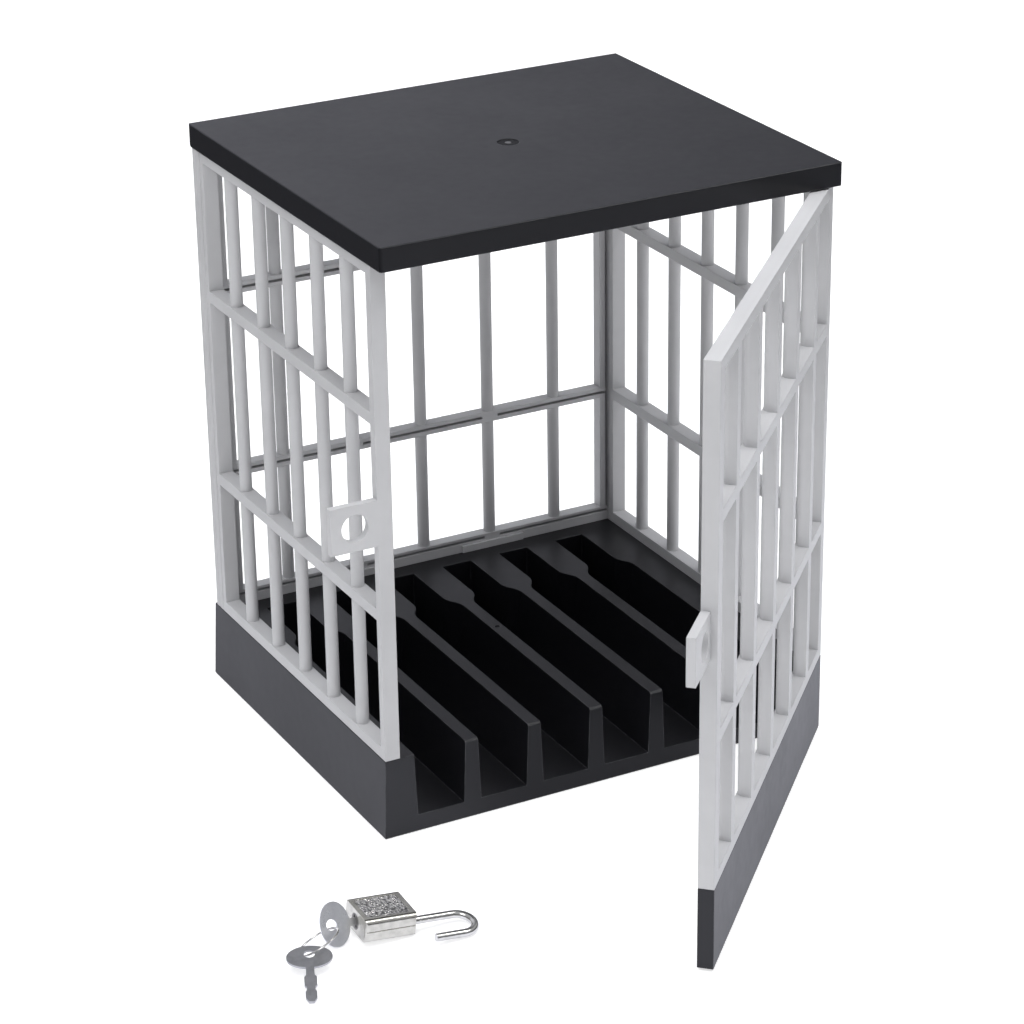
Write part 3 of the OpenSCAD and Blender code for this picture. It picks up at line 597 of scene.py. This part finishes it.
floor_paint, wire = new_finish("pale_floor")
matt = wire.node("ShaderNodeBsdfDiffuse", None, {"Color": FLOOR_PAINT})
glow = wire.node("ShaderNodeEmission", None, {"Color": (1, 1, 1, 1), "Strength": FLOOR_GLOW})
both = wire.node("ShaderNodeAddShader", None, {0: matt, 1: glow})
wire.node("ShaderNodeOutputMaterial", None, {"Surface": both})
floor = flat_square("floor", FLOOR_HALF, -FLOOR_DROP)
floor.data.materials.append(floor_paint)
floor.visible_glossy = False
print("floor", 2 * FLOOR_HALF, "m wide")

# %% [markdown]
# ## Cards for reflections
# The charcoal plastic has almost no colour of its own, so most of what it shows is reflected light: its upright faces
# near the table mirror the bright table, and those of the lid mirror the dark room beyond. A photographer sets this
# with white cards and black flags. A card here is a sheet that only reflections see: it throws no light on matt
# surfaces, casts no shadow and can't be seen itself. How bright it is at each place is a sum on the coordinates.

# %% Card helpers
CARD_TINT = (0.96, 0.97, 1.06, 1)


def card_paint(name, own_glow):
    """A matt paint whose colour and glow come from own_glow, a sum on the place."""
    material, wire = new_finish(name)
    amount = own_glow(wire.node("ShaderNodeTexCoord", out="Object"))
    bright = blend_colour(amount, (0, 0, 0, 1), CARD_TINT)
    paper = wire.node(
        "ShaderNodeBsdfPrincipled",
        None,
        {"Base Color": bright, "Roughness": 1.0, "IOR": 1.0, "Emission Color": bright, "Emission Strength": 1.0},
    )
    wire.node("ShaderNodeOutputMaterial", None, {"Surface": paper})
    return material


def only_for_reflections(sheet, own_glow):
    """Paints a card, and hides it from the camera and from matt surfaces."""
    sheet.data.materials.append(card_paint(sheet.name, own_glow))
    sheet.visible_camera = False
    sheet.visible_diffuse = False
    sheet.visible_transmission = False
    sheet.visible_shadow = False


print("card helpers ready")

# %% [markdown]
# The first card lies under the cage and stands for the bright table. It gets dim far from the cage, so that the lid's
# sides stay dark, and it is shaded beside the cage and between the base and the open door, as the real table is.

# %% Card under the cage
TABLE_HALF = 1.2
TABLE_MIDDLE = (0.06, -0.16, 0)
TABLE_BRIGHT = 0.49
TABLE_DIM = 0.055
TABLE_FADE = (0.32, 0.58)
DOOR_SHADE = {"centre": (0.0, -0.095, 0), "depth": 0.48, "inner": 0.03, "outer": 0.075}
SIDE_SHADE = {"centre": (-0.13, 0.03, 0), "depth": 0.22, "inner": 0.09, "outer": 0.15}


def shaded(place, centre, depth, inner, outer):
    """1 on the open table, and less by depth in a round shade."""
    return 1 - depth * (1 - step(distance_from(place, centre), inner, outer))


def table_glow(place):
    """Bright round the foot, dim far away, and shaded beside the cage and under its open door."""
    far = step(distance_from(place, TABLE_MIDDLE), *TABLE_FADE)
    bare = TABLE_BRIGHT + (TABLE_DIM - TABLE_BRIGHT) * far
    return bare * shaded(place, **DOOR_SHADE) * shaded(place, **SIDE_SHADE)


table_card = flat_square("table_card", TABLE_HALF, -FLOOR_DROP / 2)
only_for_reflections(table_card, table_glow)
print("card under the cage", 2 * TABLE_HALF, "m wide")

# %% [markdown]
# The second card stands behind the cage. The lid is seen at a low angle and mirrors it, which gives the lid its soft
# sheen. In the picture this sheen fades from left to right, so the card does too.

# %% Card behind the cage
BACK_PLACE = (0.4, 1.2, 0.9)
BACK_HALF = 1.6
BACK_BRIGHT = 0.325
BACK_LOSS = 0.60
BACK_ACROSS = (-0.45, 0.85)
BACK_RISE = (-0.85, -0.45)


def back_glow(place):
    """Bright on the left, dimmer to the right and towards the floor."""
    across = place.node("ShaderNodeSeparateXYZ", None, {0: place}, out="X")
    high = across.also("Y")
    return BACK_BRIGHT * (1 - BACK_LOSS * step(across, *BACK_ACROSS)) * step(high, *BACK_RISE)


back_card = flat_square("back_card", BACK_HALF, 0)
back_card.location = BACK_PLACE
back_card.rotation_euler = (math.radians(90), 0, 0)
only_for_reflections(back_card, back_glow)
print("card behind the cage", 2 * BACK_HALF, "m wide")

# %% [markdown]
# ## The room
# The room is a plain grey that is dark near the horizon and brighter overhead. A room of one grey would be simpler, but
# then every upright face of the dark plastic would mirror the same grey, and the cage would look flat.

# %% Room
HORIZON = (0.04, 0.04, 0.044, 1)
CEILING = (0.46, 0.47, 0.50, 1)
WALL_RISE = (0.10, 0.60)

world = bpy.data.worlds.new("studio_room")
bpy.context.scene.world = world
world.use_nodes = True
world.node_tree.nodes.clear()
wire = Wire(world.node_tree)
way = wire.node("ShaderNodeTexCoord", out="Generated")
up = wire.node("ShaderNodeSeparateXYZ", None, {0: way}, out="Z")
wall = blend_colour(step(up, *WALL_RISE), HORIZON, CEILING)
room = wire.node("ShaderNodeBackground", None, {"Color": wall, "Strength": 1.0})
wire.node("ShaderNodeOutputWorld", None, {"Surface": room})
print("room lit from above the horizon")

# %% [markdown]
# ## The lamps
# Three soft boxes light the cage: a large one overhead, a second at the front left, which gives the bars their round
# shading, and a small one at the front right, whose light runs along the front edges. The overhead box lights matt
# surfaces only, because metal that lies on the table would mirror it as one white patch. Each lamp is given by its
# place, the point it is aimed at, its width in metres and its power in watts.

# %% Lamps
LAMPS = {
    "edge_box": ((0.70, -0.52, 1.35), (0, 0, 0.2), 0.5, 5),
    "overhead_box": ((-0.12, -0.12, 1.70), (0, 0, 0.1), 1.1, 18),
    "front_left_box": ((-1.05, -0.85, 1.60), (0, 0, 0.1), 1.0, 10.5),
}

for name, (place, aim, width, watts) in LAMPS.items():
    lamp = bpy.data.lights.new(name, "AREA")
    lamp.size = width
    lamp.energy = watts
    holder = bpy.data.objects.new(name, lamp)
    holder.location = place
    holder.rotation_euler = (Vector(aim) - Vector(place)).to_track_quat("-Z", "Y").to_euler()
    holder.visible_glossy = name != "overhead_box"
    bpy.context.collection.objects.link(holder)
bpy.context.scene.view_settings.view_transform = "Standard"
print("lamps", ", ".join(LAMPS))

# %% [markdown]
# ## The end
# The last line prints that the scene is set up.

print("scene set up")
